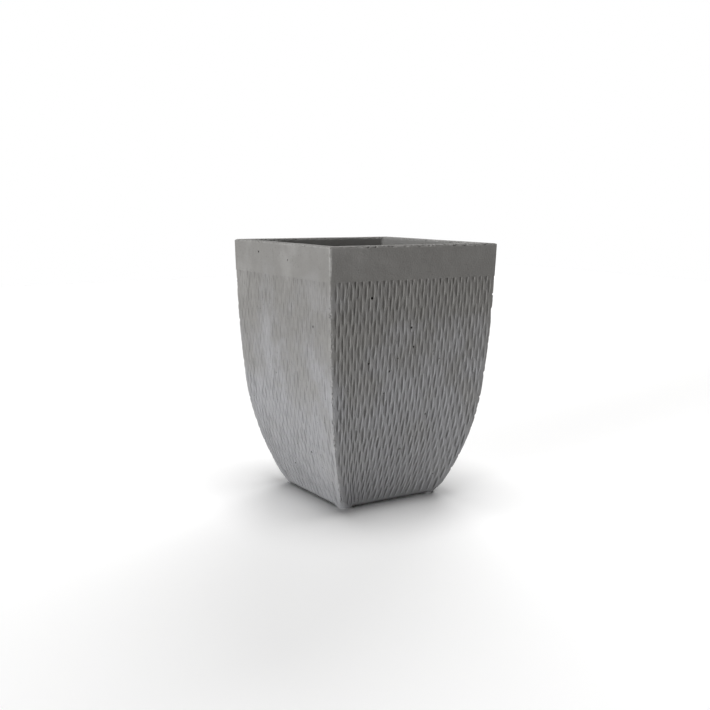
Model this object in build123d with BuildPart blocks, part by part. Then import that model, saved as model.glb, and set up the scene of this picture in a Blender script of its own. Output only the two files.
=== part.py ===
"""Square cast-concrete planter with tapered walls, a floor drain and a cast-in wire cage.

Millimetres, +Z up. The origin is the middle of the footprint, on the ground, and the walls face
along X and Y.
"""
from build123d import *
from math import asin, cos, degrees, radians, sin, tan
import os

# Pot
height = 600.0
rim_width = 450.0
wall = 32.0
floor_thickness = 45.0
band_height = 75.0
band_step = 0.8

# Side profile, from the rim down: a straight drafted run, a gentle arc, then a tighter arc
draft = 1.55
waist_tilt = 5.5
base_tilt = 26.1
straight_depth = 112.0
waist_height = 262.0

# Rounding of the corners between walls, inside and out, and of the rim
corner_radius = 3.0
cavity_corner_radius = 8.0
rim_radius = 3.0

# Corner feet, left standing between the channels under the base
foot_length = 24.0
foot_height = 4.0

# Drain
sleeve_bore = 26.0
sleeve_wall = 3.0
plug_clearance = 0.05
plug_reach = 30.0
plug_tip_chamfer = 2.0
plug_head_overlap = 3.0
plug_head_thickness = 5.0
plug_neck_diameter = 9.0
plug_neck_height = 5.0
plug_knob_diameter = 18.0
plug_knob_height = 6.0
plug_rounding = 1.5

# Wire cage
wire_diameter = 4.0
tie_gap = 0.5
bar_spacing = 110.0
bar_bend_radius = 25.0
floor_cover = 16.0
rim_cover = 20.0
hoop_bend_radius = 22.0
hoop_end_distance = 10.0
hoop_names = ["foot", "lower", "middle", "upper", "rim"]

# Worked out from the sizes above: where the runs of the side profile meet, and how tight they are
straight_end_height = height - straight_depth
straight_end_half = rim_width / 2 - straight_depth * tan(radians(draft))
upper_radius = (straight_end_height - waist_height) / (sin(radians(waist_tilt)) - sin(radians(draft)))
waist_half = straight_end_half - upper_radius * (cos(radians(draft)) - cos(radians(waist_tilt)))
lower_radius = waist_height / (sin(radians(base_tilt)) - sin(radians(waist_tilt)))

# Worked out from the sizes above: levels and diameters that pieces share
floor_top = foot_height + floor_thickness
sleeve_diameter = sleeve_bore + 2 * sleeve_wall
bar_inset = wall / 2
bar_top = height - rim_cover
x_bar_level = foot_height + floor_cover + wire_diameter / 2
y_bar_level = x_bar_level + wire_diameter + tie_gap
hoop_lowest = floor_top + hoop_end_distance + wire_diameter
hoop_highest = bar_top - hoop_end_distance


def tilt_at(z):
    """Lean of the wall from the vertical, in degrees, at height z."""
    if z >= straight_end_height:
        return draft
    if z >= waist_height:
        return degrees(asin(sin(radians(draft)) + (straight_end_height - z) / upper_radius))
    return degrees(asin(sin(radians(waist_tilt)) + (waist_height - z) / lower_radius))


def half_width(z):
    """Half of the pot's outer width at height z, above the band's step."""
    if z >= straight_end_height:
        return rim_width / 2 - (height - z) * tan(radians(draft))
    if z >= waist_height:
        return straight_end_half - upper_radius * (cos(radians(draft)) - cos(radians(tilt_at(z))))
    return waist_half - lower_radius * (cos(radians(waist_tilt)) - cos(radians(tilt_at(z))))


def side_run(inset, top_level, bottom_level):
    """Draw the right-hand wall line, moved in by inset, and return its lowest piece."""
    top = (half_width(top_level) - inset, top_level)
    straight = Line(top, (straight_end_half - inset, straight_end_height))
    upper = JernArc(straight @ 1, straight % 1, upper_radius, draft - waist_tilt)
    return JernArc(upper @ 1, upper % 1, lower_radius, waist_tilt - tilt_at(bottom_level))


def side_profile(plane, inset):
    """The whole side view, from the ground to the rim, with its walls moved in by inset."""
    with BuildSketch(plane) as profile:
        with BuildLine():
            lowest = side_run(inset, height, 0)
            Polyline(lowest @ 1, (0, 0), (0, height), (rim_width / 2 - inset, height))
        make_face()
        mirror(about=Plane.YZ)
    return profile.sketch


def is_between_walls(edge):
    """True for an edge that runs down a corner, where X and Y are the same distance out."""
    return abs(abs(edge.center().X) - abs(edge.center().Y)) < corner_radius


def tapered_block(inset, edge_radius):
    """The solid whose front and side views are both the side profile, with rounded corners."""
    with BuildPart() as block:
        extrude(side_profile(Plane.XZ, inset), amount=rim_width / 2, both=True)
        extrude(side_profile(Plane.YZ, inset), amount=rim_width / 2, both=True, mode=Mode.INTERSECT)
        fillet(block.edges().filter_by(is_between_walls), radius=edge_radius)
    return block.part


def wall_bar(plane, floor_level):
    """A wire down the middle of one wall, across the floor and up the opposite wall."""
    with BuildPart() as bar:
        with BuildLine(plane) as route:
            lowest = side_run(bar_inset, bar_top, floor_level)
            floor_run = Line(lowest @ 1, (0, floor_level))
            fillet(route.vertices().sort_by_distance(floor_run @ 0)[0], radius=bar_bend_radius)
        with BuildSketch(Plane(origin=route.line @ 0, z_dir=route.line % 0)):
            Circle(wire_diameter / 2)
        sweep(path=route.line)
        mirror(about=Plane(origin=plane.origin, z_dir=plane.x_dir))
    return bar.part


def hoop(level):
    """A closed square wire, tied inside the bars at the given level."""
    side = 2 * (half_width(level) - bar_inset - (wire_diameter + tie_gap) / cos(radians(tilt_at(level))))
    with BuildPart() as ring:
        with BuildSketch(Plane.XY.offset(level), mode=Mode.PRIVATE) as outline:
            RectangleRounded(side, side, hoop_bend_radius)
        path = outline.sketch.face().outer_wire()
        with BuildSketch(Plane(origin=path @ 0, z_dir=path % 0)):
            Circle(wire_diameter / 2)
        sweep(path=path)
    return ring.part


# Wire cage: two bars each way, and the hoops tied inside them
cage = {}
for number, side in enumerate((-1, 1), start=1):
    cage[f"bar_x{number}"] = wall_bar(Plane.XZ.offset(side * bar_spacing / 2), x_bar_level)
    cage[f"bar_y{number}"] = wall_bar(Plane.YZ.offset(side * bar_spacing / 2), y_bar_level)
hoop_step = (hoop_highest - hoop_lowest) / (len(hoop_names) - 1)
for number, name in enumerate(hoop_names):
    cage[f"hoop_{name}"] = hoop(hoop_lowest + number * hoop_step)

# Rim band, which stands proud of the walls below it
with BuildPart() as rim_band:
    add(tapered_block(0, corner_radius))
    split(bisect_by=Plane.XY.offset(height - band_height), keep=Keep.TOP)

# Planting space
with BuildPart() as cavity:
    add(tapered_block(wall, cavity_corner_radius))
    split(bisect_by=Plane.XY.offset(floor_top), keep=Keep.TOP)

# Concrete shell
with BuildPart() as shell:
    add(tapered_block(band_step, corner_radius))
    add(rim_band.part)
    add(cavity.part, mode=Mode.SUBTRACT)
    fillet(shell.faces().sort_by(Axis.Z)[-1].edges(), radius=rim_radius)
    with BuildSketch():
        channel = 2 * (half_width(0) - band_step - foot_length)
        Rectangle(rim_width, channel)
        Rectangle(channel, rim_width)
    extrude(amount=foot_height, mode=Mode.SUBTRACT)
    with BuildSketch():
        Circle(sleeve_diameter / 2)
    extrude(amount=floor_top, mode=Mode.SUBTRACT)
    for wire in cage.values():
        add(wire, mode=Mode.SUBTRACT)

# Drain sleeve, as long as the floor is thick
with BuildPart() as drain_sleeve:
    with BuildSketch(Plane.XY.offset(foot_height)):
        Circle(sleeve_diameter / 2)
        Circle(sleeve_bore / 2, mode=Mode.SUBTRACT)
    extrude(amount=floor_thickness)

# Drain plug: a stem in the sleeve, a head on the floor, and a knob to pull it by
head_radius = sleeve_diameter / 2 + plug_head_overlap
head_top = floor_top + plug_head_thickness
knob_bottom = head_top + plug_neck_height
with BuildPart() as drain_plug:
    with BuildSketch(Plane.XY.offset(floor_top)):
        Circle(sleeve_bore / 2 - plug_clearance)
    extrude(amount=-plug_reach)
    chamfer(drain_plug.edges().sort_by(Axis.Z)[0], length=plug_tip_chamfer)
    with BuildSketch(Plane.XY.offset(floor_top)):
        Circle(head_radius)
    extrude(amount=plug_head_thickness)
    fillet(drain_plug.edges().sort_by(Axis.Z)[-1], radius=plug_rounding)
    with BuildSketch(Plane.XY.offset(head_top)):
        Circle(plug_neck_diameter / 2)
    extrude(amount=plug_neck_height)
    with BuildSketch(Plane.XY.offset(knob_bottom)):
        Circle(plug_knob_diameter / 2)
    extrude(amount=plug_knob_height)
    fillet(drain_plug.edges().group_by(Axis.Z)[-1], radius=plug_rounding)

os.makedirs("parts", exist_ok=True)
pieces = {"shell": shell.part, "drain_sleeve": drain_sleeve.part, "drain_plug": drain_plug.part}
for name, piece in {**pieces, **cage}.items():
    piece.label = name
    export_step(piece, f"parts/{name}.step")
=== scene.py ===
"""Square cast-concrete planter: a gouged shell on four feet, its drain, its cage and a plain stage.

The part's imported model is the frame. Lengths are in metres, +Z is up, and the walls face along X
and Y.
"""
import math
import random

import bpy
from bpy.props import FloatProperty, FloatVectorProperty, IntProperty, PointerProperty
from mathutils import Matrix, Vector, noise


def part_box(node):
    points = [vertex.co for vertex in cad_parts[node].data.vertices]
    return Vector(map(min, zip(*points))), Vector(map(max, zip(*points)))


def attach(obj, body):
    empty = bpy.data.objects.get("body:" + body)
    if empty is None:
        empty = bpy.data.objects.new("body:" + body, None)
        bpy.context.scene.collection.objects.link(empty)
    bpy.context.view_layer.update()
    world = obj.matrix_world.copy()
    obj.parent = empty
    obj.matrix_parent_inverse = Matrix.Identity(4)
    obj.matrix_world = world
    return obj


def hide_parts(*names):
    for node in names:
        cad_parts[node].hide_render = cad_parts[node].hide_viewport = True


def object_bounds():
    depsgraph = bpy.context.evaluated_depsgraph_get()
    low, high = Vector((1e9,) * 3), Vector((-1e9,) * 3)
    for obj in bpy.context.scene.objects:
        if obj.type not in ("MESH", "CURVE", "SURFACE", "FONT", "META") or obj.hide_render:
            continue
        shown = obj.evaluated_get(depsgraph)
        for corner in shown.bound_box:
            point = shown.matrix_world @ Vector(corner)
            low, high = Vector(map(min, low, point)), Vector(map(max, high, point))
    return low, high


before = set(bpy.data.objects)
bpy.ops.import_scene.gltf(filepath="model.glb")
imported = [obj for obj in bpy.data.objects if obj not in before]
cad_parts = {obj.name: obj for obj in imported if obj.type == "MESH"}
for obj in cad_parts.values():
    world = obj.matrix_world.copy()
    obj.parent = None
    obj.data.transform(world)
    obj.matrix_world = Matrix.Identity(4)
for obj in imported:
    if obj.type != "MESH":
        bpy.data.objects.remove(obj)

CAD_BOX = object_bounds()
SLEEVE_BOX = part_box("drain_sleeve")

bl_info = {
    "name": "Concrete planter",
    "version": (1, 0, 0),
    "blender": (4, 5, 0),
    "location": "3D View > Sidebar > Planter",
    "description": "Builds a square tapered concrete planter with gouged walls",
    "category": "Object",
}

MERGE_DISTANCE = 1e-5
QUARTER_TURN = math.pi / 2


# Sizes and colours -------------------------------------------------------------------------------

def length(name, text, value):
    """A length property, in metres."""
    return FloatProperty(name=name, description=text, default=value, unit="LENGTH", precision=5)


def angle(name, text, degrees):
    """An angle property, given in degrees and kept in radians."""
    return FloatProperty(name=name, description=text, default=math.radians(degrees),
                         unit="ROTATION")


def factor(name, text, value):
    """A plain number property."""
    return FloatProperty(name=name, description=text, default=value)


def colour(name, text, value):
    """A colour property."""
    return FloatVectorProperty(name=name, description=text, default=value, size=3, subtype="COLOR")


def vector(name, text, value, kind):
    """A property for a place or a direction."""
    return FloatVectorProperty(name=name, description=text, default=value, size=3, subtype=kind)


class PotSizes(bpy.types.PropertyGroup):
    """The pot's own form, the same as in the part's source."""
    height: length("Height", "Ground to rim", CAD_BOX[1][2])
    rim_width: length("Rim width", "Overall width across the rim", 0.450)
    wall: length("Wall", "Wall thickness, measured level", 0.032)
    floor_top: length("Floor level", "Height of the planting space's floor", SLEEVE_BOX[1].z)
    band_height: length("Band height", "Height of the plain band under the rim", 0.075)
    band_step: length("Band step", "How far the band stands proud of the wall", 0.0008)
    draft: angle("Draft", "Lean of the wall just under the rim", 1.55)
    waist_tilt: angle("Waist tilt", "Lean of the wall at the waist", 5.5)
    base_tilt: angle("Base tilt", "Lean of the wall at the ground", 26.1)
    straight_depth: length("Straight depth", "Height of the straight run under the rim", 0.112)
    waist_height: length("Waist height", "Where the tighter curve starts", 0.262)
    corner_radius: length("Corner radius", "Rounding between two walls", 0.002)
    cavity_radius: length("Cavity radius", "Rounding of the planting space's corners", 0.008)
    rim_radius: length("Rim radius", "Rounding of the rim's edges", 0.003)
    foot_length: length("Foot length", "Side of each corner foot", 0.024)
    foot_height: length("Foot height", "How far the base clears the ground", SLEEVE_BOX[0].z)


class GougeSizes(bpy.types.PropertyGroup):
    """The pattern of upright lens-shaped gouges."""
    pitch: length("Column pitch", "Distance between neighbouring columns", 0.0094)
    period: length("Period", "Distance between gouges down a column", 0.0525)
    cut_length: length("Cut length", "Length of a gouge", 0.043)
    cut_width: length("Cut width", "Width of a gouge at its middle", 0.0094)
    cut_depth: length("Cut depth", "Depth of a gouge at its middle", 0.0032)
    deepen: factor("Deepen", "How much deeper the lowest gouges are, as a share", 0.45)
    top_centre: length("First centre", "Height of the highest whole gouge's centre", 0.502)
    edge_margin: length("Edge margin", "Plain strip beside each corner", 0.005)
    base_margin: length("Base margin", "Plain strip above the ground", 0.006)
    gather: factor("Gather", "How strongly the columns close in as the wall narrows", 0.45)
    sway: length("Sway", "How far a column wanders sideways", 0.0011)
    slip: length("Slip", "How far a gouge slips up or down", 0.0045)
    variants: IntProperty(name="Variants", description="Number of different cuts", default=8, min=1)
    lean: factor("Lean", "How far the columns lean per metre, just under the band", 0.024)
    seed: IntProperty(name="Seed", description="Seed of the random choices", default=7)


# Small helpers for modelling ---------------------------------------------------------------------

def object_mode():
    """Leave edit mode, if a mesh is being edited."""
    if bpy.context.mode != "OBJECT":
        bpy.ops.object.mode_set(mode="OBJECT")


def edit(piece):
    """Open the piece in edit mode, with nothing selected."""
    object_mode()
    bpy.ops.object.select_all(action="DESELECT")
    piece.select_set(True)
    bpy.context.view_layer.objects.active = piece
    bpy.ops.object.mode_set(mode="EDIT")
    bpy.ops.mesh.select_mode(type="VERT")
    bpy.ops.mesh.select_all(action="DESELECT")


def select_vertices(piece, test):
    """Select the vertices of an edited mesh that pass the test, and the edges and faces between."""
    bpy.ops.object.mode_set(mode="OBJECT")
    for vertex in piece.data.vertices:
        vertex.select = test(vertex.co)
    for edge in piece.data.edges:
        edge.select = all(piece.data.vertices[i].select for i in edge.vertices)
    for face in piece.data.polygons:
        face.select = all(piece.data.vertices[i].select for i in face.vertices)
    bpy.ops.object.mode_set(mode="EDIT")


def select_border(piece, test):
    """Select the open edges of an edited mesh whose ends pass the test."""
    bpy.ops.mesh.select_all(action="DESELECT")
    bpy.ops.mesh.select_non_manifold(extend=False, use_wire=True, use_boundary=True,
                                     use_multi_face=False, use_non_contiguous=False,
                                     use_verts=False)
    bpy.ops.object.mode_set(mode="OBJECT")
    vertices = piece.data.vertices
    for edge in piece.data.edges:
        edge.select = edge.select and all(test(vertices[i].co) for i in edge.vertices)
    chosen = {i for edge in piece.data.edges if edge.select for i in edge.vertices}
    for vertex in vertices:
        vertex.select = vertex.index in chosen
    for face in piece.data.polygons:
        face.select = False
    bpy.ops.object.mode_set(mode="EDIT")


def extrude_border(piece, place):
    """Extrude the selected edges of an edited mesh, and put each new vertex where place says."""
    bpy.ops.mesh.extrude_edges_move()
    bpy.ops.object.mode_set(mode="OBJECT")
    for vertex in piece.data.vertices:
        if vertex.select:
            vertex.co = place(vertex.co)
    bpy.ops.object.mode_set(mode="EDIT")


def cut(point, normal, clear_outer=False):
    """Cut the whole edited mesh with a plane, and drop what lies past it if asked."""
    bpy.ops.mesh.select_all(action="SELECT")
    bpy.ops.mesh.bisect(plane_co=point, plane_no=normal, clear_outer=clear_outer, threshold=1e-7)


def join(pieces, name):
    """Join pieces into the first one, and merge the vertices where they meet."""
    object_mode()
    bpy.ops.object.select_all(action="DESELECT")
    for piece in pieces:
        piece.select_set(True)
    bpy.context.view_layer.objects.active = pieces[0]
    bpy.ops.object.join()
    pieces[0].name = name
    edit(pieces[0])
    bpy.ops.mesh.select_all(action="SELECT")
    bpy.ops.mesh.remove_doubles(threshold=MERGE_DISTANCE)
    object_mode()
    return pieces[0]


def copy_mesh(piece, matrix):
    """A copy of the piece with its own mesh, moved by the matrix."""
    twin = piece.copy()
    twin.data = piece.data.copy()
    twin.data.transform(matrix)
    bpy.context.collection.objects.link(twin)
    return twin


def reset_origin(piece):
    """Apply a piece's place to its mesh."""
    object_mode()
    bpy.ops.object.select_all(action="DESELECT")
    piece.select_set(True)
    bpy.context.view_layer.objects.active = piece
    bpy.ops.object.transform_apply(location=True, rotation=True, scale=True)


def keep_values(piece, name, values):
    """Keep one value for each vertex on the mesh."""
    layer = piece.data.attributes.new(name, "FLOAT", "POINT")
    layer.data.foreach_set("value", values)


# The pot's form ----------------------------------------------------------------------------------

def arc_radii(pot):
    """Radii of the gentle arc above the waist and of the tighter arc below it."""
    upper_rise = pot.height - pot.straight_depth - pot.waist_height
    upper_radius = upper_rise / (math.sin(pot.waist_tilt) - math.sin(pot.draft))
    lower_radius = pot.waist_height / (math.sin(pot.base_tilt) - math.sin(pot.waist_tilt))
    return upper_radius, lower_radius


def tilt_at(pot, z):
    """Lean of the wall at height z."""
    straight_end = pot.height - pot.straight_depth
    upper_radius, lower_radius = arc_radii(pot)
    if z >= straight_end:
        return pot.draft
    if z >= pot.waist_height:
        return math.asin(math.sin(pot.draft) + (straight_end - z) / upper_radius)
    return math.asin(math.sin(pot.waist_tilt) + (pot.waist_height - z) / lower_radius)


def half_width(pot, z):
    """Half of the pot's outer width at height z: a straight run, a gentle arc and a tighter arc."""
    if z >= pot.height - pot.straight_depth:
        return pot.rim_width / 2 - (pot.height - z) * math.tan(pot.draft)
    straight_half = pot.rim_width / 2 - pot.straight_depth * math.tan(pot.draft)
    upper_radius, lower_radius = arc_radii(pot)
    if z >= pot.waist_height:
        return straight_half - upper_radius * (math.cos(pot.draft) - math.cos(tilt_at(pot, z)))
    waist_half = straight_half - upper_radius * (math.cos(pot.draft) - math.cos(pot.waist_tilt))
    return waist_half - lower_radius * (math.cos(pot.waist_tilt) - math.cos(tilt_at(pot, z)))


def field_half_width(pot, z):
    """Half of the width over the gouged walls, which stand back from the band."""
    return half_width(pot, z) - pot.band_step


def on_section(x, y, old_half, old_radius, new_half, new_radius):
    """Carry a point of one rounded square to the matching point of another."""
    along, out = (x, y) if abs(y) >= abs(x) else (y, x)
    old_flat, new_flat = old_half - old_radius, new_half - new_radius
    if abs(along) <= old_flat:
        new_along, new_out = along * new_flat / old_flat, math.copysign(new_half, out)
    else:
        turn = math.atan2(abs(along) - old_flat, abs(out) - old_flat)
        new_along = math.copysign(new_flat + new_radius * math.sin(turn), along)
        new_out = math.copysign(new_flat + new_radius * math.cos(turn), out)
    return (new_along, new_out) if abs(y) >= abs(x) else (new_out, new_along)


# The gouged walls --------------------------------------------------------------------------------

TILE_ROWS = 8
GOUGED_COLUMNS = 6
PLAIN_COLUMNS = 2
# Share of a gouge's depth that is reached halfway from its edge to its middle
MID_WALL_SINK = 0.75
# Smallest and largest share of the set width, length and depth among the different cuts
WIDTH_SPREAD = (0.84, 1.04)
LENGTH_SPREAD = (0.88, 1.08)
DEPTH_SPREAD = (0.75, 1.15)


def plain_cell(cuts):
    """One plain cell of the pattern, facing -Y."""
    bpy.ops.mesh.primitive_grid_add(x_subdivisions=PLAIN_COLUMNS, y_subdivisions=TILE_ROWS, size=1,
                                    rotation=(QUARTER_TURN, 0, 0))
    cell = bpy.context.object
    reset_origin(cell)
    edit(cell)
    bpy.ops.mesh.select_all(action="SELECT")
    bpy.ops.transform.resize(value=(cuts.pitch, 1, cuts.period), center_override=(0, 0, 0))
    object_mode()
    return cell


def gouged_cell(cuts, width, cut_length, depth):
    """One cell with a gouge: a grid with its inner lines pinched to a lens, sunk, and closed at the
    tips."""
    bpy.ops.mesh.primitive_grid_add(x_subdivisions=GOUGED_COLUMNS, y_subdivisions=TILE_ROWS, size=1,
                                    rotation=(QUARTER_TURN, 0, 0))
    cell = bpy.context.object
    reset_origin(cell)
    edit(cell)
    bpy.ops.mesh.select_all(action="SELECT")
    bpy.ops.transform.resize(value=(cuts.pitch, 1, cuts.period), center_override=(0, 0, 0))
    gap = cuts.pitch / GOUGED_COLUMNS
    for row in range(1, TILE_ROWS):
        level = (row / TILE_ROWS - 0.5) * cuts.period
        swell = 1 - (2 * level / cut_length) ** 2

        def inner(co, reach):
            return abs(co.z - level) < gap / 2 and abs(co.x) < (reach + 0.5) * gap

        select_vertices(cell, lambda co: inner(co, 1))
        bpy.ops.transform.translate(value=(0, MID_WALL_SINK * depth * swell, 0))
        select_vertices(cell, lambda co: inner(co, 0))
        bpy.ops.transform.translate(value=(0, (1 - MID_WALL_SINK) * depth * swell, 0))
        select_vertices(cell, lambda co: inner(co, 2))
        bpy.ops.transform.resize(value=(width * swell / (4 * gap), 1, 1),
                                 center_override=(0, 0, level))
    for end in (-0.5, 0.5):
        select_vertices(cell, lambda co: abs(co.z - end * cuts.period) < gap / 2
                        and abs(co.x) < 2.5 * gap)
        bpy.ops.mesh.merge(type="CENTER")
    object_mode()
    return cell


def gouge_fits(pot, cuts, across, centre):
    """True if a whole gouge at that place clears the corners and the ground."""
    low = centre - cuts.cut_length / 2
    if low < cuts.base_margin:
        return False
    middle_reach = (abs(across) + cuts.cut_width / 2) * spread_at(pot, cuts, centre)
    tip_reach = abs(across) * spread_at(pot, cuts, low)
    return (middle_reach < field_half_width(pot, centre) - cuts.edge_margin
            and tip_reach < field_half_width(pot, low) - cuts.edge_margin)


def spread_at(pot, cuts, z):
    """How much of their spacing at the band the columns keep at height z."""
    band_bottom = pot.height - pot.band_height
    return (field_half_width(pot, z) / field_half_width(pot, band_bottom)) ** cuts.gather


def flat_field(pot, cuts):
    """The pattern of one wall laid out flat, with every other column half a period higher."""
    rng = random.Random(cuts.seed)
    gouges = []
    for _ in range(cuts.variants):
        width = cuts.cut_width * rng.uniform(*WIDTH_SPREAD)
        cut_length = cuts.cut_length * rng.uniform(*LENGTH_SPREAD)
        depth = cuts.cut_depth * rng.uniform(*DEPTH_SPREAD)
        gouges.append(gouged_cell(cuts, width, cut_length, depth))
    plain = plain_cell(cuts)
    band_bottom = pot.height - pot.band_height
    column_reach = math.ceil(field_half_width(pot, band_bottom) / cuts.pitch)
    cells = []
    for column in range(-column_reach, column_reach + 1):
        centre = cuts.top_centre + (cuts.period / 2 if column % 2 else 0)
        while centre > -cuts.period:
            fits = gouge_fits(pot, cuts, column * cuts.pitch, centre)
            cell = rng.choice(gouges) if fits else plain
            cells.append(copy_mesh(cell, Matrix.Translation((column * cuts.pitch, 0, centre))))
            centre -= cuts.period
    for cell in gouges + [plain]:
        bpy.data.objects.remove(cell)
    return join(cells, "wall")


def fade(value, start, end):
    """Smooth step from 0 at start to 1 at end."""
    t = min(max((value - start) / (end - start), 0), 1)
    return t * t * (3 - 2 * t)


# Distance from a corner, from the ground or below the band over which a wall's unevenness sets in
CORNER_CALM = (0.006, 0.030)
GROUND_CALM = (0.004, 0.030)
BAND_CALM = (0, 0.030)
LEAN_START = (0.006, 0.090)
# Distance below the band over which the gouges deepen
DEEPEN_RANGE = (0.15, 0.40)
# Length and height of the waves that move the pattern sideways, and of those that move it upright
SWAY_WAVES = (0.022, 0.060)
SLIP_WAVES = (0.009, 0.045)


def waves(waves_size, x, z, layer):
    """A smooth random value from -1 to 1 at a place on a wall. Each layer has its own pattern."""
    return noise.noise((x / waves_size[0], layer, z / waves_size[1]))


def bend_wall(pot, cuts, wall):
    """Carry the flat pattern onto the curved -Y wall, with some unevenness away from its edges.

    Each vertex keeps how deep it lies in a gouge, for the painted shade that darkens the gouges.
    """
    depths = []
    band_bottom = pot.height - pot.band_height
    for vertex in wall.data.vertices:
        x, sunk, z = vertex.co
        x *= spread_at(pot, cuts, z)
        from_corner = field_half_width(pot, z) - abs(x)
        inside = fade(from_corner, *CORNER_CALM) * fade(z, *GROUND_CALM)
        across = waves(SWAY_WAVES, x, z, 3.1)
        down = waves(SLIP_WAVES, x, z, 7.7)
        drop = band_bottom - z
        x -= cuts.lean * drop * (1 + drop / band_bottom) * fade(from_corner, *LEAN_START)
        x += across * 2 * cuts.sway * inside
        moved = z + down * 2 * cuts.slip * inside * fade(drop, *BAND_CALM)
        depth = sunk * (1 + cuts.deepen * fade(drop, *DEEPEN_RANGE))
        vertex.co = (x, depth - field_half_width(pot, moved), moved)
        depths.append(sunk / cuts.cut_depth)
    keep_values(wall, "sunk", depths)


CORNER_STEPS = 2
FOOT_ROUNDING = 0.002
BAND_CLEARANCE = 0.001


def trim_corners(pot, wall):
    """Cut the -Y wall to its two corner planes, and round it off towards them and at the ground."""
    edit(wall)
    for side in (-1, 1):
        cut((0, 0, 0), (side, 1, 0), clear_outer=True)
        for step in range(1, CORNER_STEPS + 1):
            cut((0, -pot.corner_radius * step / CORNER_STEPS, 0), (side, 1, 0))
    for level in (0.25, 1):
        cut((0, 0, FOOT_ROUNDING * level), (0, 0, 1))
    highest = pot.height - pot.band_height - BAND_CLEARANCE
    select_vertices(wall, lambda co: 2 * FOOT_ROUNDING < co.z < highest
                    and -co.y - abs(co.x) < pot.corner_radius + MERGE_DISTANCE)
    bpy.ops.mesh.subdivide(number_cuts=1)
    object_mode()
    for vertex in wall.data.vertices:
        x, y, z = vertex.co
        if z < FOOT_ROUNDING:
            drop = 1 - z / FOOT_ROUNDING
            scale = 1 - FOOT_ROUNDING * (1 - math.sqrt(1 - drop * drop)) / -y
            x, y = x * scale, y * scale
        from_corner = -y - abs(x)
        if from_corner < pot.corner_radius:
            turn = (1 - from_corner / pot.corner_radius) * math.pi / 4
            flat = -y - pot.corner_radius
            x = math.copysign(flat + pot.corner_radius * math.sin(turn), x)
            y = -flat - pot.corner_radius * math.cos(turn)
        vertex.co = (x, y, z)


FOOT_CORNER_RADIUS = 0.020
FOOT_EASE_HEIGHT = 0.030


def ease_feet(pot, walls):
    """Round the corners between the walls more and more towards the ground."""
    for vertex in walls.data.vertices:
        x, y, z = vertex.co
        if z > FOOT_EASE_HEIGHT:
            continue
        near_ground = fade(-z, -FOOT_EASE_HEIGHT, 0)
        radius = pot.corner_radius + (FOOT_CORNER_RADIUS - pot.corner_radius) * near_ground
        centre = field_half_width(pot, z) - radius
        out_x, out_y = abs(x) - centre, abs(y) - centre
        reach = math.hypot(out_x, out_y)
        if min(out_x, out_y) > 0 and reach > radius:
            vertex.co.x = math.copysign(centre + out_x * radius / reach, x)
            vertex.co.y = math.copysign(centre + out_y * radius / reach, y)


def gouged_walls(pot, cuts):
    """One wall, cut out of the pattern and bent to the profile, and its three copies."""
    wall = flat_field(pot, cuts)
    edit(wall)
    cut((0, 0, pot.height - pot.band_height), (0, 0, 1), clear_outer=True)
    cut((0, 0, 0), (0, 0, -1), clear_outer=True)
    object_mode()
    bend_wall(pot, cuts, wall)
    trim_corners(pot, wall)
    turns = [Matrix.Rotation(QUARTER_TURN * number, 4, "Z") for number in (1, 2, 3)]
    walls = join([wall] + [copy_mesh(wall, turn) for turn in turns], "pot_shell")
    ease_feet(pot, walls)
    return walls


# Band, rim, planting space and base --------------------------------------------------------------

BAND_CHAMFER = 0.0004
# Closest spacing of the upright lines on the band, and on the walls inside
BAND_EDGE_SPACING = 0.0024
INSIDE_SPACING = 0.0058
# Length beside each corner that keeps all of its lines
CORNER_KEEP = 0.005
ROUNDING_ANGLES = [math.radians(degrees) for degrees in (22.5, 45, 67.5, 90)]
# Distances below the rounded edges of the lines that let the edges chip
EDGE_LINES = (0.002, 0.005)
RIM_TOP_SHARES = (0.06, 0.18, 0.5, 0.82, 0.94, 1)
# Heights of the lines round the inside, closer together where the walls curve more
INSIDE_LEVELS = (0.488, 0.40, 0.33, 0.27, 0.24, 0.21, 0.18, 0.15, 0.125, 0.10, 0.075)
FLOOR_LINES = (0.004, 0.001)
FLOOR_ROUNDING = 0.003


def carry_up(shell, start, sections):
    """Extrude the selected level loop through sections. Each gives half of its width, its corner
    radius and its height."""
    old_half, old_radius = start
    for half, radius, z in sections:
        def place(co):
            return (*on_section(co.x, co.y, old_half, old_radius, half, radius), z)
        extrude_border(shell, place)
        old_half, old_radius = half, radius


def rim_sections(pot):
    """Sections of the band, from just above its lower edge up and over the rim's rounded edge."""
    low, high = pot.height - pot.band_height, pot.height - pot.rim_radius
    levels = [low + BAND_CHAMFER, (low + high) / 2]
    levels += [high - drop for drop in reversed(EDGE_LINES)] + [high]
    sections = [(half_width(pot, z), pot.corner_radius, z) for z in levels]
    flat_half = half_width(pot, high) - pot.rim_radius
    for turn in ROUNDING_ANGLES:
        half = flat_half + pot.rim_radius * math.cos(turn)
        sections.append((half, pot.corner_radius, high + pot.rim_radius * math.sin(turn)))
    return sections


def rim_top_sections(pot):
    """Sections of the rim's top, from its outer edge over the rounded inner edge."""
    high = pot.height - pot.rim_radius
    outer_half = half_width(pot, high) - pot.rim_radius
    inner_half = half_width(pot, high) - pot.wall + pot.rim_radius
    inner_radius = pot.cavity_radius + pot.rim_radius
    sections = []
    for share in RIM_TOP_SHARES:
        radius = pot.corner_radius + (inner_radius - pot.corner_radius) * share
        sections.append((outer_half + (inner_half - outer_half) * share, radius, pot.height))
    for turn in reversed(ROUNDING_ANGLES[:-1]):
        drop = pot.rim_radius * math.cos(turn)
        level = high + pot.rim_radius * math.sin(turn)
        sections.append((inner_half - drop, inner_radius - drop, level))
    return sections + [inside_section(pot, high - drop) for drop in (0, *EDGE_LINES)]


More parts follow.
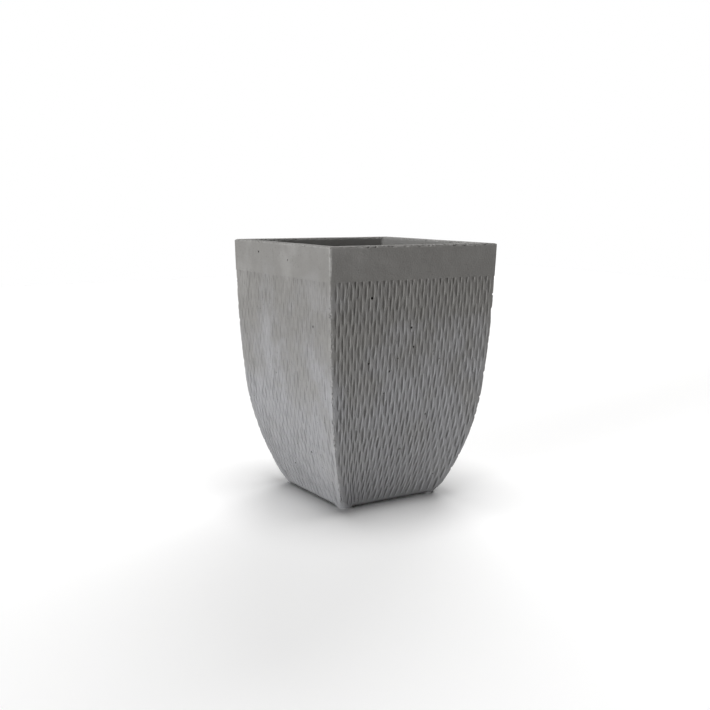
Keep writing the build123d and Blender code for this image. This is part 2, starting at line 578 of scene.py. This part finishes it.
def inside_section(pot, z):
    """Section of the planting space at height z."""
    return half_width(pot, z) - pot.wall, pot.cavity_radius, z


def inside_sections(pot):
    """Sections of the planting space down to the floor."""
    levels = [*INSIDE_LEVELS, *(pot.floor_top + rise for rise in FLOOR_LINES)]
    floor_half, floor_radius, _ = inside_section(pot, pot.floor_top)
    floor_edge = (floor_half - FLOOR_ROUNDING, floor_radius, pot.floor_top)
    return [inside_section(pot, z) for z in levels] + [floor_edge]


def drain_hole(pot, radius):
    """The hole through the floor, from the floor's top to the ground level."""
    bpy.ops.mesh.primitive_circle_add(vertices=64, radius=radius, location=(0, 0, pot.floor_top))
    hole = bpy.context.object
    reset_origin(hole)
    edit(hole)
    bpy.ops.mesh.select_all(action="SELECT")
    bpy.ops.mesh.extrude_edges_move(TRANSFORM_OT_translate={"value": (0, 0, -pot.floor_top)})
    object_mode()
    return hole


def close_level(shell, z):
    """Fill the flat gap between the two open loops at height z."""
    edit(shell)
    select_border(shell, lambda co: abs(co.z - z) < MERGE_DISTANCE)
    bpy.ops.mesh.fill(use_beauty=True)
    object_mode()


def thin_border(shell, z, reach, spacing):
    """Merge the open loop's vertices at height z until they are the spacing apart, but leave its
    corners, and select the loop."""
    select_border(shell, lambda co: abs(co.z - z) < MERGE_DISTANCE
                  and min(abs(co.x), abs(co.y)) < reach)
    bpy.ops.mesh.remove_doubles(threshold=spacing)
    select_border(shell, lambda co: abs(co.z - z) < MERGE_DISTANCE)


def closed_body(pot, cuts):
    """The pot as one closed mesh that still stands flat on the ground."""
    shell = gouged_walls(pot, cuts)
    low = pot.height - pot.band_height
    edit(shell)
    select_border(shell, lambda co: abs(co.z - low) < MERGE_DISTANCE)
    lip_half = half_width(pot, low) - BAND_CHAMFER
    field = (field_half_width(pot, low), pot.corner_radius)
    carry_up(shell, field, [(lip_half, pot.corner_radius, low)])
    thin_border(shell, low, lip_half - CORNER_KEEP, BAND_EDGE_SPACING)
    carry_up(shell, (lip_half, pot.corner_radius), rim_sections(pot) + rim_top_sections(pot))
    inside_half, inside_radius, inside_top = rim_top_sections(pot)[-1]
    thin_border(shell, inside_top, inside_half - inside_radius - CORNER_KEEP, INSIDE_SPACING)
    carry_up(shell, (inside_half, inside_radius), inside_sections(pot))
    object_mode()
    shell = join([shell, drain_hole(pot, SLEEVE_BOX[1].x)], "pot_shell")
    close_level(shell, pot.floor_top)
    close_level(shell, 0)
    edit(shell)
    bpy.ops.mesh.select_all(action="SELECT")
    bpy.ops.mesh.normals_make_consistent(inside=False)
    object_mode()
    return shell


CHANNEL_ROUNDING = 0.004


def foot_channels(pot):
    """The cutter that clears the base between the feet: a cross with eased edges."""
    width = 2 * (field_half_width(pot, 0) - pot.foot_length)
    depth = 2 * pot.foot_height
    bpy.ops.mesh.primitive_cube_add(size=1, location=(0, 0, 0))
    cross = bpy.context.object
    edit(cross)
    bpy.ops.mesh.select_all(action="SELECT")
    bpy.ops.transform.resize(value=(width, width, depth), center_override=(0, 0, 0))
    bpy.ops.mesh.select_mode(type="FACE")
    object_mode()
    for face in cross.data.polygons:
        face.select = abs(face.normal.z) < 0.5
    bpy.ops.object.mode_set(mode="EDIT")
    bpy.ops.mesh.extrude_faces_move(TRANSFORM_OT_shrink_fatten={"value": pot.foot_length * 2})
    object_mode()
    for edge in cross.data.edges:
        ends = [cross.data.vertices[i].co for i in edge.vertices]
        upright = abs(ends[0].z - ends[1].z) > depth / 2
        inner = all(max(abs(co.x), abs(co.y)) < width for co in ends)
        beside_foot = min(abs(ends[0].x), abs(ends[0].y)) > width / 2 - MERGE_DISTANCE
        edge.select = upright and inner and beside_foot
    bpy.ops.object.mode_set(mode="EDIT")
    bpy.ops.mesh.select_mode(type="EDGE")
    bpy.ops.mesh.bevel(offset=CHANNEL_ROUNDING, segments=4)
    object_mode()
    return cross


# Wall, place along it, height and radius of each large pinhole. A wall's number is its quarter
# turns from the -Y wall, and a place along it runs to the right as seen from outside.
PINHOLES = [
    (0, -0.116, 0.489, 0.0034), (0, -0.009, 0.419, 0.0020), (0, -0.118, 0.346, 0.0024),
    (0, -0.064, 0.325, 0.0019), (0, -0.074, 0.276, 0.0022), (0, -0.012, 0.137, 0.0018),
    (0, 0.045, 0.215, 0.0019), (3, -0.096, 0.575, 0.0021), (3, 0.146, 0.426, 0.0023),
    (3, -0.068, 0.307, 0.0020), (3, -0.038, 0.297, 0.0018), (3, 0.000, 0.257, 0.0024),
    (3, 0.102, 0.285, 0.0021), (3, 0.078, 0.129, 0.0020), (3, -0.028, 0.076, 0.0019),
]
# Small pinholes on each wall, their radii and how far they keep from a wall's ends
RANDOM_PINHOLES = 14
RANDOM_RADII = (0.0009, 0.0011, 0.0013, 0.0016)
LOWEST_PINHOLE = 0.03
RIM_DISTANCE = 0.012
CORNER_DISTANCE = 0.015
# Closest distance of two pinholes, and the shape of the ball that cuts one, in shares of its radius
PINHOLE_GAP = 0.009
PINHOLE_STRETCH = 2.5
PINHOLE_WIDTH = (0.7, 1.1)
PINHOLE_HEIGHT = (0.9, 1.3)
PINHOLE_UNEVENNESS = 0.12
PINHOLE_TURN = (-0.8, 0.8)
PINHOLE_SINK = 0.002
# How dark the painted shadow on the underside is, as a share
UNDERSIDE_PAINTED_SHADE = 0.75


def paint_pit_and_gap_shade(pot, shell):
    """Keep the painted shade of the pinholes off the plain wall around them, and paint shade into
    the gap between the feet, as a painted shadow under the base."""
    vertices, pit_and_gap_shade = shell.data.vertices, shell.data.attributes["pit_and_gap_shade"].data
    for edge in shell.data.edges:
        first, second = edge.vertices
        if (vertices[first].co - vertices[second].co).length > PINHOLE_GAP / 2:
            pit_and_gap_shade[first].value = pit_and_gap_shade[second].value = 0
    foot_start = field_half_width(pot, 0) - pot.foot_length
    for index, vertex in enumerate(vertices):
        x, y, z = vertex.co
        under = max(abs(x), abs(y)) < field_half_width(pot, 0) - pot.foot_length / 2
        beside_foot = min(abs(x), abs(y)) < foot_start
        # Painted shadow: the channel's sides beside the feet and the underside are painted dark
        if (under or beside_foot) and MERGE_DISTANCE < z < pot.foot_height + MERGE_DISTANCE:
            pit_and_gap_shade[index].value = 1 if beside_foot else UNDERSIDE_PAINTED_SHADE


def pinhole_cutters(pot, seed):
    """Small uneven balls that cut the air bubbles out of the walls."""
    rng = random.Random(seed)
    places = list(PINHOLES)
    for wall in range(4):
        for _ in range(RANDOM_PINHOLES):
            z = rng.uniform(LOWEST_PINHOLE, pot.height - RIM_DISTANCE)
            along = rng.uniform(-1, 1) * (half_width(pot, z) - CORNER_DISTANCE)
            radius = rng.choice(RANDOM_RADII)
            if all(wall != other[0] or math.dist((along, z), other[1:3]) > PINHOLE_GAP
                   for other in places):
                places.append((wall, along, z, radius))
    balls = []
    for wall, along, z, radius in places:
        bpy.ops.mesh.primitive_ico_sphere_add(subdivisions=2, radius=radius)
        ball = bpy.context.object
        edit(ball)
        bpy.ops.mesh.select_all(action="SELECT")
        size = (rng.uniform(*PINHOLE_WIDTH), PINHOLE_STRETCH, rng.uniform(*PINHOLE_HEIGHT))
        bpy.ops.transform.resize(value=size, center_override=(0, 0, 0))
        bpy.ops.transform.vertex_random(offset=radius * PINHOLE_UNEVENNESS, seed=rng.randrange(100))
        object_mode()
        ball.data.transform(Matrix.Rotation(rng.uniform(*PINHOLE_TURN), 4, "Y"))
        ball.data.transform(Matrix.Translation((along, PINHOLE_SINK - half_width(pot, z), z)))
        ball.data.transform(Matrix.Rotation(QUARTER_TURN * wall, 4, "Z"))
        # The cutter's vertices carry the painted shade onto the faces that it cuts
        keep_values(ball, "pit_and_gap_shade", [1.0] * len(ball.data.vertices))
        balls.append(ball)
    return balls


def subtract(piece, cutter):
    """Cut the cutter out of the piece, and remove the cutter."""
    object_mode()
    bpy.context.view_layer.objects.active = piece
    boolean = piece.modifiers.new("cut", "BOOLEAN")
    boolean.operation = "DIFFERENCE"
    boolean.solver = "MANIFOLD"
    boolean.object = cutter
    bpy.ops.object.modifier_apply(modifier="cut")
    bpy.data.objects.remove(cutter)


# Wear --------------------------------------------------------------------------------------------

CHIP_DEPTH = 0.0028
SMALL_CHIP = 0.0048
LARGE_CHIP = 0.012
EDGE_REACH = 0.003
# How far the surfaces wander, over what length at the edges and on the walls, and the heights
# between which the walls' part sets in
WANDER = 0.0004
EDGE_WAVE = 0.02
WALL_WAVE = 0.085
WANDER_START = (0.004, 0.05)
# A vertex lower than this stands on the ground and stays there
GROUND_CONTACT = 0.0001


def edge_nearness(pot, co):
    """How near a point is to a worn edge, from 0 to 1: between walls, at the rim or the ground."""
    out, side = max(abs(co.x), abs(co.y)), min(abs(co.x), abs(co.y))
    half = half_width(pot, co.z)
    from_outside, from_top = half - out, pot.height - co.z
    near = 0.0
    if from_outside < EDGE_REACH:
        near = max(fade(side - half, -2 * EDGE_REACH, -EDGE_REACH), fade(-co.z, -2 * EDGE_REACH, 0))
    if from_top < 2 * EDGE_REACH:
        across = min(from_outside, abs(from_outside - pot.wall))
        near = max(near, fade(-max(across, from_top), -1.5 * EDGE_REACH, -EDGE_REACH))
    return near


def wear_down(pot, shell):
    """Chip the edges, let the walls wander, and keep how worn each vertex is and which lie inside,
    for the painted light on the inner walls.
    Near a corner between walls, vertices move towards the axis, so that none cross."""
    moved, worn, inner = [], [], []
    for vertex in shell.data.vertices:
        co, normal = vertex.co.copy(), vertex.normal.copy()
        corner = Vector((math.copysign(1, co.x), math.copysign(1, co.y), 0))
        half = half_width(pot, co.z)
        side, out = sorted((abs(co.x), abs(co.y)))
        inner.append(float(half - out > 0.8 * pot.wall and co.z > 0.9 * pot.floor_top))
        near = edge_nearness(pot, co)
        chip = fade(noise.noise(co / SMALL_CHIP), 0.15, 0.55)
        chip += 0.5 * fade(noise.noise(co / LARGE_CHIP), 0.2, 0.6)
        inward = near * (CHIP_DEPTH * chip + WANDER * (1 + noise.noise(co / EDGE_WAVE)))
        inward += WANDER * (1 + noise.noise(co / WALL_WAVE)) * fade(co.z, *WANDER_START)
        if co.z < GROUND_CONTACT:
            normal.z = 0
        if side > half - CORNER_KEEP and pot.height - co.z > 2 * EDGE_REACH:
            normal = corner.normalized()
        moved.append(co - normal * inward)
        worn.append(min(near * (0.4 + chip), 1))
    for vertex, co in zip(shell.data.vertices, moved):
        vertex.co = co
    keep_values(shell, "worn", worn)
    keep_values(shell, "inner", inner)


SHARP_ANGLE = 32


def concrete_shell(pot, cuts):
    """The whole pot: one casting with band, gouged walls, planting space, feet and drain hole."""
    shell = closed_body(pot, cuts)
    subtract(shell, foot_channels(pot))
    subtract(shell, join(pinhole_cutters(pot, cuts.seed), "bubbles"))
    paint_pit_and_gap_shade(pot, shell)
    wear_down(pot, shell)
    bpy.ops.object.shade_smooth_by_angle(angle=math.radians(SHARP_ANGLE))
    return shell


# Materials ---------------------------------------------------------------------------------------

class Finishes(bpy.types.PropertyGroup):
    """Colours of the planter's materials."""
    # Painted light and shade: the cool colour is paler for bounce light low down, and the warm one
    # is darker for shade near the rim
    concrete_low_painted_light: colour("Concrete, cool", "Concrete lower down", (0.266, 0.265, 0.272))
    concrete_high_painted_shade: colour("Concrete, warm", "Concrete near the rim", (0.162, 0.157, 0.149))
    # The dark colour is also painted into the gouges as shade
    concrete_dark_and_hollow_shade: colour("Concrete, dark", "Damp and dirt in the hollows", (0.115, 0.111, 0.106))
    # The pale colour is also painted onto the inner walls as light
    concrete_pale_and_inner_light: colour("Concrete, pale", "Rubbed edges and lime bloom", (0.350, 0.345, 0.335))
    pore: colour("Concrete, pores", "Shade in pores and pinholes", (0.045, 0.043, 0.040))
    plastic: colour("Sleeve plastic", "Grey drain pipe", (0.060, 0.062, 0.066))
    scuff: colour("Sleeve scuffs", "Scuffed plastic", (0.16, 0.16, 0.17))
    rubber: colour("Plug rubber", "Black rubber", (0.018, 0.018, 0.019))
    dust: colour("Plug dust", "Dust on the rubber", (0.11, 0.105, 0.10))
    grain: colour("Plug grain", "Raised grain of the rubber", (0.09, 0.09, 0.09))
    steel: colour("Cage steel", "Bare drawn wire", (0.300, 0.290, 0.280))
    rust: colour("Cage rust", "Light rust on the wire", (0.170, 0.070, 0.030))
    rust_dark: colour("Cage rust, dark", "Dark specks in the rust", (0.06, 0.03, 0.015))


class Finish:
    """A new material whose nodes are added and linked through short calls."""

    def __init__(self, name):
        self.material = bpy.data.materials.new(name)
        self.material.use_nodes = True
        self.tree = self.material.node_tree
        self.shader = self.tree.nodes["Principled BSDF"]
        self.place = self.add("ShaderNodeTexCoord").outputs["Object"]

    def add(self, kind, inputs=None, **settings):
        """A node, with settings as its attributes and inputs as values or links."""
        node = self.tree.nodes.new(kind)
        for key, value in settings.items():
            setattr(node, key, value)
        for key, value in (inputs or {}).items():
            if isinstance(value, bpy.types.NodeSocket):
                self.tree.links.new(value, node.inputs[key])
            else:
                node.inputs[key].default_value = value
        return node

    def stretched(self, scale):
        """Object coordinates multiplied by a scale for each axis."""
        inputs = {"Vector": self.place, "Scale": scale}
        return self.add("ShaderNodeMapping", inputs).outputs["Vector"]

    def noise(self, scale, detail=4, roughness=0.55, place=None):
        """A noise value, with scale in cells per metre."""
        inputs = {"Vector": place or self.place, "Scale": scale, "Detail": detail,
                  "Roughness": roughness}
        return self.add("ShaderNodeTexNoise", inputs).outputs["Fac"]

    def dots(self, scale):
        """Distance to the nearest of many scattered points, in cells, and a random colour each."""
        node = self.add("ShaderNodeTexVoronoi", {"Vector": self.place, "Scale": scale})
        return node.outputs["Distance"], node.outputs["Color"]

    def attribute(self, name):
        """A value kept on the mesh."""
        return self.add("ShaderNodeAttribute", attribute_name=name).outputs["Fac"]

    def ramp(self, value, low, high, start=0.0, end=1.0):
        """Carry low..high to start..end smoothly, and hold it beyond."""
        inputs = {"Value": value, "From Min": low, "From Max": high, "To Min": start, "To Max": end}
        node = self.add("ShaderNodeMapRange", inputs, interpolation_type="SMOOTHSTEP")
        return node.outputs["Result"]

    def math(self, operation, first, second=0.0):
        """One sum."""
        node = self.add("ShaderNodeMath", {0: first, 1: second}, operation=operation)
        return node.outputs["Value"]

    def blend(self, share, first, second):
        """A colour between first and second."""
        node = self.add("ShaderNodeMix", data_type="RGBA")
        for key, value in ((0, share), (6, first), (7, second)):
            if isinstance(value, bpy.types.NodeSocket):
                self.tree.links.new(value, node.inputs[key])
            else:
                node.inputs[key].default_value = value if key == 0 else (*value, 1)
        return node.outputs[2]

    def finish(self, tint, roughness, heights):
        """Link colour, roughness and a chain of bumps, each a height and its depth in metres."""
        self.tree.links.new(tint, self.shader.inputs["Base Color"])
        self.tree.links.new(roughness, self.shader.inputs["Roughness"])
        normal = None
        for height, depth in heights:
            inputs = {"Height": height, "Distance": depth, "Strength": 1.0}
            if normal is not None:
                inputs["Normal"] = normal
            normal = self.add("ShaderNodeBump", inputs).outputs["Normal"]
        self.tree.links.new(normal, self.shader.inputs["Normal"])
        return self.material


def concrete(colours):
    """Cast concrete: clouded grey with sand, pores, rubbed edges and dark patches, and painted
    light and shade.
    """
    mix = Finish("cast_concrete")
    level = mix.add("ShaderNodeSeparateXYZ", {0: mix.place}).outputs["Z"]
    clouds = mix.noise(9, 5, 0.6)
    patches = mix.noise(34, 5, 0.6)
    # Painted light and shade: paler and cooler low down as painted bounce light, darker and warmer
    # near the rim as painted shade
    painted_shade_line = mix.math("ADD", level, mix.ramp(clouds, 0.3, 0.7, -0.11, 0.11))
    tint = mix.blend(mix.ramp(painted_shade_line, 0.16, 0.52), colours.concrete_low_painted_light, colours.concrete_high_painted_shade)
    tint = mix.blend(mix.ramp(patches, 0.35, 0.75, 0.0, 0.16), tint, colours.concrete_dark_and_hollow_shade)
    tint = mix.blend(mix.ramp(clouds, 0.45, 0.75, 0.0, 0.22), tint, colours.concrete_pale_and_inner_light)

    # Painted shade: the deeper a point lies in a gouge, the darker the concrete
    sunk = mix.attribute("sunk")
    tint = mix.blend(mix.ramp(sunk, 0.3, 1.0, 0.0, 0.08), tint, colours.concrete_dark_and_hollow_shade)
    # Painted light: the walls inside the planting space are painted paler
    inner = mix.math("MULTIPLY", mix.attribute("inner"), 0.26)
    tint = mix.blend(inner, tint, colours.concrete_pale_and_inner_light)
    worn = mix.math("MULTIPLY", mix.attribute("worn"), mix.ramp(mix.noise(160, 4), 0.35, 0.65))
    tint = mix.blend(mix.math("MULTIPLY", worn, 0.6), tint, colours.concrete_pale_and_inner_light)

    sand = mix.noise(1400, 3, 0.7)
    tint = mix.blend(mix.ramp(sand, 0.52, 0.75, 0.0, 0.28), tint, colours.concrete_pale_and_inner_light)
    tint = mix.blend(mix.ramp(sand, 0.46, 0.25, 0.0, 0.34), tint, colours.concrete_dark_and_hollow_shade)
    pore_distance, pore_kind = mix.dots(170)
    pore_draw = mix.add("ShaderNodeSeparateColor", {0: pore_kind}).outputs[0]
    pore_chance = mix.ramp(pore_draw, 0.80, 0.84)
    pore = mix.math("MULTIPLY", mix.ramp(pore_distance, 0.16, 0.07), pore_chance)
    # Painted shade and shadow: pores, pinholes and the gap between the feet take the dark pore
    # colour
    pore = mix.math("MAXIMUM", pore, mix.attribute("pit_and_gap_shade"))
    tint = mix.blend(mix.math("MULTIPLY", pore, 0.8), tint, colours.pore)

    roughness = mix.ramp(mix.noise(70, 4), 0.3, 0.7, 0.82, 0.96)
    heights = [(mix.noise(26, 3), 0.0016), (mix.noise(260, 5, 0.6), 0.0009), (sand, 0.00022),
               (mix.math("SUBTRACT", 1.0, pore), 0.0009)]
    material = mix.finish(tint, roughness, heights)
    mix.shader.inputs["Specular IOR Level"].default_value = 0.25
    return material


def pipe_plastic(colours):
    """Dull grey pipe with scuffs along its length and specks of cement."""
    mix = Finish("pipe_plastic")
    scuffs = mix.noise(1, 4, 0.7, mix.stretched((900, 900, 60)))
    tint = mix.blend(mix.ramp(scuffs, 0.45, 0.75, 0.0, 0.4), colours.plastic, colours.scuff)
    cement = mix.ramp(mix.noise(420, 4, 0.7), 0.58, 0.68, 0.0, 0.7)
    tint = mix.blend(cement, tint, colours.concrete_low_painted_light)
    roughness = mix.ramp(scuffs, 0.3, 0.7, 0.45, 0.75)
    return mix.finish(tint, roughness, [(scuffs, 0.0001), (mix.noise(300, 4), 0.0001)])


def plug_rubber(colours):
    """Black rubber with dust in patches and a faint grain."""
    mix = Finish("plug_rubber")
    bloom = mix.ramp(mix.noise(140, 5, 0.65), 0.42, 0.72, 0.0, 0.45)
    tint = mix.blend(bloom, colours.rubber, colours.dust)
    grain = mix.noise(2200, 3, 0.6)
    tint = mix.blend(mix.ramp(grain, 0.55, 0.75, 0.0, 0.25), tint, colours.grain)
    roughness = mix.ramp(mix.noise(90, 4), 0.3, 0.7, 0.55, 0.85)
    return mix.finish(tint, roughness, [(grain, 0.00006), (mix.noise(180, 4), 0.0002)])


def cage_steel(colours):
    """Drawn wire with light rust in patches."""
    mix = Finish("cage_steel")
    patches = mix.noise(120, 6, 0.7)
    fine = mix.noise(1500, 4, 0.7)
    rusted = mix.ramp(mix.math("ADD", patches, mix.math("MULTIPLY", fine, 0.35)), 0.52, 0.80)
    tint = mix.blend(rusted, colours.steel, colours.rust)
    tint = mix.blend(mix.ramp(fine, 0.5, 0.8, 0.0, 0.5), tint, colours.rust_dark)
    roughness = mix.ramp(rusted, 0.0, 1.0, 0.42, 0.9)
    material = mix.finish(tint, roughness, [(fine, 0.00008), (patches, 0.0002)])
    mix.tree.links.new(mix.ramp(rusted, 0.0, 0.6, 0.9, 0.0), mix.shader.inputs["Metallic"])
    return material


def dress(piece, material):
    """Give the piece this material alone."""
    if piece.material_slots:
        for slot in piece.material_slots:
            slot.material = material
    else:
        piece.data.materials.append(material)


# The stage ---------------------------------------------------------------------------------------

class StageLook(bpy.types.PropertyGroup):
    """Camera, floor and light."""
    camera_place: vector("Camera", "Where the camera stands", (-1.2575, -1.9317, 0.6947),
                         "TRANSLATION")
    camera_aim: vector("Aim", "Point that the camera looks at", (-0.0121, 0.0078, 0.3268),
                       "TRANSLATION")
    camera_roll: angle("Roll", "Turn of the camera about its line of sight", 0.4375)
    lens: factor("Lens", "Focal length in millimetres", 49.18)
    floor_size: length("Floor size", "Side of the floor", 12)
    floor_shade: factor("Floor shade", "How pale the floor is, from 0 to 1", 0.9)
    key_from: vector("Key", "Direction that the key light comes from", (-0.97, -0.225, 0.04),
                     "DIRECTION")
    key_strength: factor("Key strength", "Strength of the low light from the left", 4.15)
    key_spread: angle("Key spread", "Apparent size of the key light", 18)
    key_tint: colour("Key colour", "Colour of the low light", (0.97, 0.985, 1.0))
    top_strength: factor("Top strength", "Strength of the light from overhead", 2.5)
    wide_spread: angle("Wide spread", "Apparent size of the overhead and back lights", 36)
    back_from: vector("Back", "Direction that the back light comes from", (0.75, 0.85, 0.5),
                      "DIRECTION")
    back_strength: factor("Back strength", "Strength of the light on the far sides", 1.8)
    sky: factor("Sky", "Strength of the even light from all round", 0.03)
    sky_tint: colour("Sky colour", "Colour of the even light", (1.0, 0.90, 0.79))


LAMP_DISTANCE = 3


def distant_light(name, come_from, strength, spread):
    """A soft light that falls evenly from one direction."""
    data = bpy.data.lights.new(name, "SUN")
    data.energy = strength
    data.angle = spread
    lamp = bpy.data.objects.new(name, data)
    bpy.context.collection.objects.link(lamp)
    lamp.location = Vector(come_from) * LAMP_DISTANCE
    lamp.rotation_euler = (-Vector(come_from)).to_track_quat("-Z", "Y").to_euler()
    return lamp


def set_stage(look):
    """Camera, floor, lights and an even pale sky."""
    scene = bpy.context.scene
    scene.view_settings.view_transform = "Standard"
    camera_data = bpy.data.cameras.new("camera")
    camera_data.lens = look.lens
    camera = bpy.data.objects.new("camera", camera_data)
    bpy.context.collection.objects.link(camera)
    ahead = Vector(look.camera_aim) - Vector(look.camera_place)
    sight = ahead.to_track_quat("-Z", "Y").to_matrix()
    roll = Matrix.Rotation(look.camera_roll, 3, "Z")
    camera.matrix_world = Matrix.Translation(look.camera_place) @ (sight @ roll).to_4x4()
    scene.camera = camera

    bpy.ops.mesh.primitive_plane_add(size=look.floor_size)
    floor = bpy.context.object
    floor.name = "floor"
    paint = bpy.data.materials.new("floor_white")
    paint.use_nodes = True
    shader = paint.node_tree.nodes["Principled BSDF"]
    shader.inputs["Base Color"].default_value = (*[look.floor_shade] * 3, 1)
    shader.inputs["Roughness"].default_value = 0.9
    floor.data.materials.append(paint)

    key = distant_light("key", look.key_from, look.key_strength, look.key_spread)
    key.data.color = look.key_tint
    distant_light("top", (0, 0, 1), look.top_strength, look.wide_spread)
    distant_light("back", look.back_from, look.back_strength, look.wide_spread)

    world = bpy.data.worlds.new("sky")
    scene.world = world
    world.use_nodes = True
    nodes, links = world.node_tree.nodes, world.node_tree.links
    sky_light, backdrop = nodes["Background"], nodes.new("ShaderNodeBackground")
    sky_light.inputs["Color"].default_value = (*look.sky_tint, 1)
    sky_light.inputs["Strength"].default_value = look.sky
    backdrop.inputs["Color"].default_value = (1, 1, 1, 1)
    path, choice = nodes.new("ShaderNodeLightPath"), nodes.new("ShaderNodeMixShader")
    links.new(path.outputs["Is Camera Ray"], choice.inputs["Fac"])
    links.new(sky_light.outputs["Background"], choice.inputs[1])
    links.new(backdrop.outputs["Background"], choice.inputs[2])
    links.new(choice.outputs["Shader"], nodes["World Output"].inputs["Surface"])


# Operators and panel -----------------------------------------------------------------------------

class PLANTER_OT_shell(bpy.types.Operator):
    """Model the concrete shell with its gouged walls"""
    bl_idname = "planter.shell"
    bl_label = "Concrete shell"

    def execute(self, context):
        pot, cuts = context.scene.planter_pot, context.scene.planter_gouges
        shell = concrete_shell(pot, cuts)
        dress(shell, concrete(context.scene.planter_finishes))
        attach(shell, "planter")
        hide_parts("shell")
        return {"FINISHED"}


class PLANTER_OT_drain(bpy.types.Operator):
    """Finish the drain's sleeve and its plug"""
    bl_idname = "planter.drain"
    bl_label = "Drain sleeve and plug"

    def execute(self, context):
        colours = context.scene.planter_finishes
        dress(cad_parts["drain_sleeve"], pipe_plastic(colours))
        dress(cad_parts["drain_plug"], plug_rubber(colours))
        return {"FINISHED"}


class PLANTER_OT_cage(bpy.types.Operator):
    """Finish the wires that are cast into the walls"""
    bl_idname = "planter.cage"
    bl_label = "Wire cage"

    def execute(self, context):
        steel = cage_steel(context.scene.planter_finishes)
        for name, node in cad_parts.items():
            if name.startswith(("bar_", "hoop_")):
                dress(node, steel)
        return {"FINISHED"}


class PLANTER_OT_stage(bpy.types.Operator):
    """Set up the camera, the floor and the lights"""
    bl_idname = "planter.stage"
    bl_label = "Stage"

    def execute(self, context):
        set_stage(context.scene.planter_stage)
        return {"FINISHED"}


class PLANTER_PT_build(bpy.types.Panel):
    """Build steps of the planter, in order"""
    bl_idname = "PLANTER_PT_build"
    bl_label = "Planter"
    bl_space_type = "VIEW_3D"
    bl_region_type = "UI"
    bl_category = "Planter"

    def draw(self, context):
        for step in BUILD_STEPS:
            self.layout.operator(step.bl_idname)


BUILD_STEPS = (PLANTER_OT_shell, PLANTER_OT_drain, PLANTER_OT_cage, PLANTER_OT_stage)
PROPERTIES = {"planter_pot": PotSizes, "planter_gouges": GougeSizes, "planter_finishes": Finishes,
              "planter_stage": StageLook}
CLASSES = (*PROPERTIES.values(), *BUILD_STEPS, PLANTER_PT_build)


def register():
    """Register the classes and hang the settings on the scene."""
    for item in CLASSES:
        bpy.utils.register_class(item)
    for name, group in PROPERTIES.items():
        setattr(bpy.types.Scene, name, PointerProperty(type=group))


def unregister():
    """Undo register."""
    for name in PROPERTIES:
        delattr(bpy.types.Scene, name)
    for item in reversed(CLASSES):
        bpy.utils.unregister_class(item)


def main():
    """Build the planter and its stage."""
    register()
    bpy.ops.planter.shell()
    bpy.ops.planter.drain()
    bpy.ops.planter.cage()
    bpy.ops.planter.stage()


if __name__ == "__main__":
    main()
